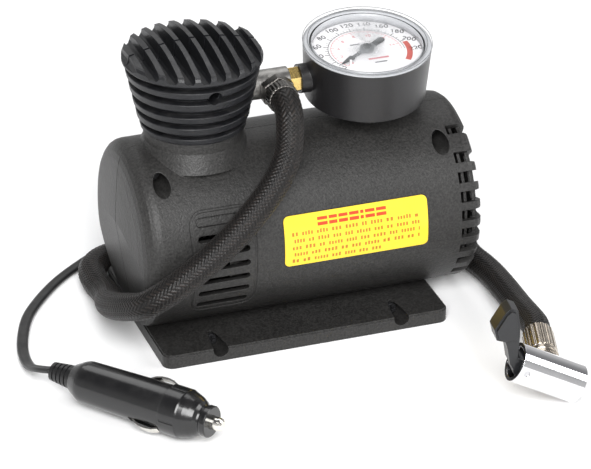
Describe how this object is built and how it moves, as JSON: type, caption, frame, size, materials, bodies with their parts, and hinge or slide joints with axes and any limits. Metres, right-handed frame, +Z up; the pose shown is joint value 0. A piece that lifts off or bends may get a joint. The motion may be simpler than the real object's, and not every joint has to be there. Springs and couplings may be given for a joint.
{
  "type": "portable tire inflator",
  "caption": "Compact car tyre air compressor: motor barrel on a flat foot, finned pump head, dial pressure gauge, braided air hose with lever chuck, and a plug-in power lead.",
  "frame": {"origin": "on the surface the foot stands on, below the barrel's axis and halfway between the foot's ends", "axes": "+X along the motor barrel from the pump head towards the vented end, +Y from the labelled front to the back, +Z up"},
  "size_m": [0.2159, 0.2674, 0.1276],
  "materials": {
    "housing_plastic": "fine grained moulding",
    "label_film": "printed film",
    "screw_steel": "zinc plated",
    "cover_plastic": "satin moulding",
    "cast_zinc": "as cast",
    "cast_aluminium": "machined casting",
    "gasket_fibre": "pressed fibre",
    "seal_rubber": "matt",
    "spring_steel": "drawn wire",
    "ground_steel": "ground",
    "gear_plastic": "natural nylon",
    "sintered_bronze": "sintered",
    "plated_steel": "plated drawn can",
    "black_plastic": "moulded",
    "carbon": "pressed",
    "ferrite": "sintered ferrite",
    "lamination_steel": "stacked sheet",
    "copper_wire": "enamelled wire",
    "copper_bar": "turned copper",
    "wire_cover": "soft cover",
    "gauge_brass": "turned brass",
    "gauge_black": "satin moulding",
    "clear_lens": "clear moulding",
    "dial_paint": "printed white",
    "needle_black": "satin paint",
    "dark_nickel": "dark plated, fluted",
    "braided_hose": "herringbone braid",
    "bright_chrome": "polished",
    "lever_plastic": "satin moulding",
    "cord_rubber": "soft satin",
    "tie_plastic": "soft",
    "plug_plastic": "glossy moulding",
    "bright_nickel": "nickel plated",
    "fuse_glass": "clear tube"
  },
  "bodies": {
    "body": {"front_shell": "housing_plastic", "rear_shell": "housing_plastic", "label_sticker": "label_film", "housing_screws": "screw_steel", "head_cover_front": "cover_plastic", "head_cover_rear": "cover_plastic", "gearbox_frame": "cast_zinc", "frame_screws": "screw_steel", "compressor_cylinder": "cast_aluminium", "head_gasket": "gasket_fibre", "cylinder_head": "cast_zinc", "crank_bearing": "ground_steel", "shaft_bushes": "sintered_bronze", "motor_can": "plated_steel", "motor_end_bell": "black_plastic", "carbon_brushes": "carbon", "motor_magnets": "ferrite", "internal_wires": "wire_cover", "gauge_nut": "gauge_brass", "gauge_socket": "black_plastic", "gauge_case": "gauge_black", "gauge_lens": "clear_lens", "gauge_dial": "dial_paint", "gauge_movement": "gauge_brass", "hose_nut": "dark_nickel", "air_hose": "braided_hose", "hose_end_ferrule": "dark_nickel", "chuck_body": "bright_chrome", "chuck_seal": "seal_rubber", "lever_pin": "ground_steel", "lead_grommet": "cord_rubber", "power_lead": "cord_rubber", "lead_coil": "cord_rubber", "coil_tie": "tie_plastic", "plug_strain_relief": "cord_rubber", "plug_barrel": "plug_plastic", "plug_cap": "plug_plastic"},
    "crank": {"crankshaft": "ground_steel", "crank_gear": "gear_plastic"},
    "rod": {"connecting_rod": "cast_aluminium", "gudgeon_pin": "ground_steel"},
    "piston": {"piston": "cast_aluminium", "piston_cup": "seal_rubber", "intake_reed": "spring_steel"},
    "outlet_valve": {"outlet_valve": "seal_rubber", "outlet_spring": "spring_steel"},
    "armature": {"motor_shaft": "ground_steel", "motor_pinion": "ground_steel", "armature_core": "lamination_steel", "armature_winding": "copper_wire", "commutator": "copper_bar"},
    "sector": {"sector_gear": "gauge_brass"},
    "needle": {"gauge_needle": "needle_black"},
    "lever": {"chuck_lever": "lever_plastic"},
    "plunger": {"chuck_plunger": "gauge_brass"},
    "tip": {"plug_tip": "bright_nickel", "plug_fuse": "fuse_glass", "plug_spring": "spring_steel"},
    "contact_front": {"side_contact_front": "bright_nickel"},
    "contact_back": {"side_contact_back": "bright_nickel"}
  },
  "joints": [
    {"name": "crank_spin", "type": "hinge", "parent": "body", "child": "crank", "pos_m": [-0.035, 0, 0.046], "axis": [1, 0, 0], "continuous": true},
    {"name": "motor_spin", "type": "hinge", "parent": "body", "child": "armature", "pos_m": [0, 0, 0.0248], "axis": [1, 0, 0], "continuous": true},
    {"name": "rod_spin", "type": "hinge", "parent": "crank", "child": "rod", "pos_m": [-0.035, 0, 0.0405], "axis": [1, 0, 0], "continuous": true},
    {"name": "piston_slide", "type": "slide", "parent": "body", "child": "piston", "axis": [0, 0, 1], "range_m": [0, 0.011]},
    {"name": "outlet_valve_lift", "type": "slide", "parent": "body", "child": "outlet_valve", "axis": [0, 0, 1], "range_m": [0, 0.0008], "stiffness_N_per_m": 150, "springref_m": -0.001, "deforming": ["outlet_spring"]},
    {"name": "sector_turn", "type": "hinge", "parent": "body", "child": "sector", "pos_m": [0.05302, -0.00207, 0.10125], "axis": [0, -0.1219, 0.9925], "range_deg": [0, 67.5], "stiffness_Nm_per_rad": 0.002, "springref_deg": -17.19},
    {"name": "needle_turn", "type": "hinge", "parent": "body", "child": "needle", "pos_m": [0.0412, 0, 0.1015], "axis": [0, -0.1219, 0.9925], "range_deg": [-270, 0]},
    {"name": "chuck_lever_turn", "type": "hinge", "parent": "body", "child": "lever", "pos_m": [0.06493, -0.12017, 0.01935], "axis": [0.1305, 0.9914, 0], "range_deg": [-50, 0]},
    {"name": "chuck_plunger_slide", "type": "slide", "parent": "body", "child": "plunger", "axis": [0.8834, -0.1163, -0.454], "range_m": [0, 0.0018]},
    {"name": "plug_tip_press", "type": "slide", "parent": "body", "child": "tip", "axis": [0.6293, -0.7771, 0], "range_m": [-0.0025, 0], "stiffness_N_per_m": 400, "springref_m": 0.002, "deforming": ["plug_spring"]},
    {"name": "contact_front_press", "type": "slide", "parent": "body", "child": "contact_front", "axis": [0.6124, 0.4959, 0.6157], "range_m": [0, 0.0015], "stiffness_N_per_m": 600, "springref_m": -0.0005},
    {"name": "contact_back_press", "type": "slide", "parent": "body", "child": "contact_back", "axis": [-0.6124, -0.4959, -0.6157], "range_m": [0, 0.0015], "stiffness_N_per_m": 600, "springref_m": -0.0005}
  ],
  "couplings": [
    {"joint": "motor_spin", "follows": "crank_spin", "ratio": -3.8182},
    {"joint": "rod_spin", "follows": "crank_spin", "ratio": -1},
    {"joint": "needle_turn", "follows": "sector_turn", "ratio": -4},
    {"joint": "chuck_plunger_slide", "follows": "chuck_lever_turn", "m_per_rad": -0.0020626}
  ]
}
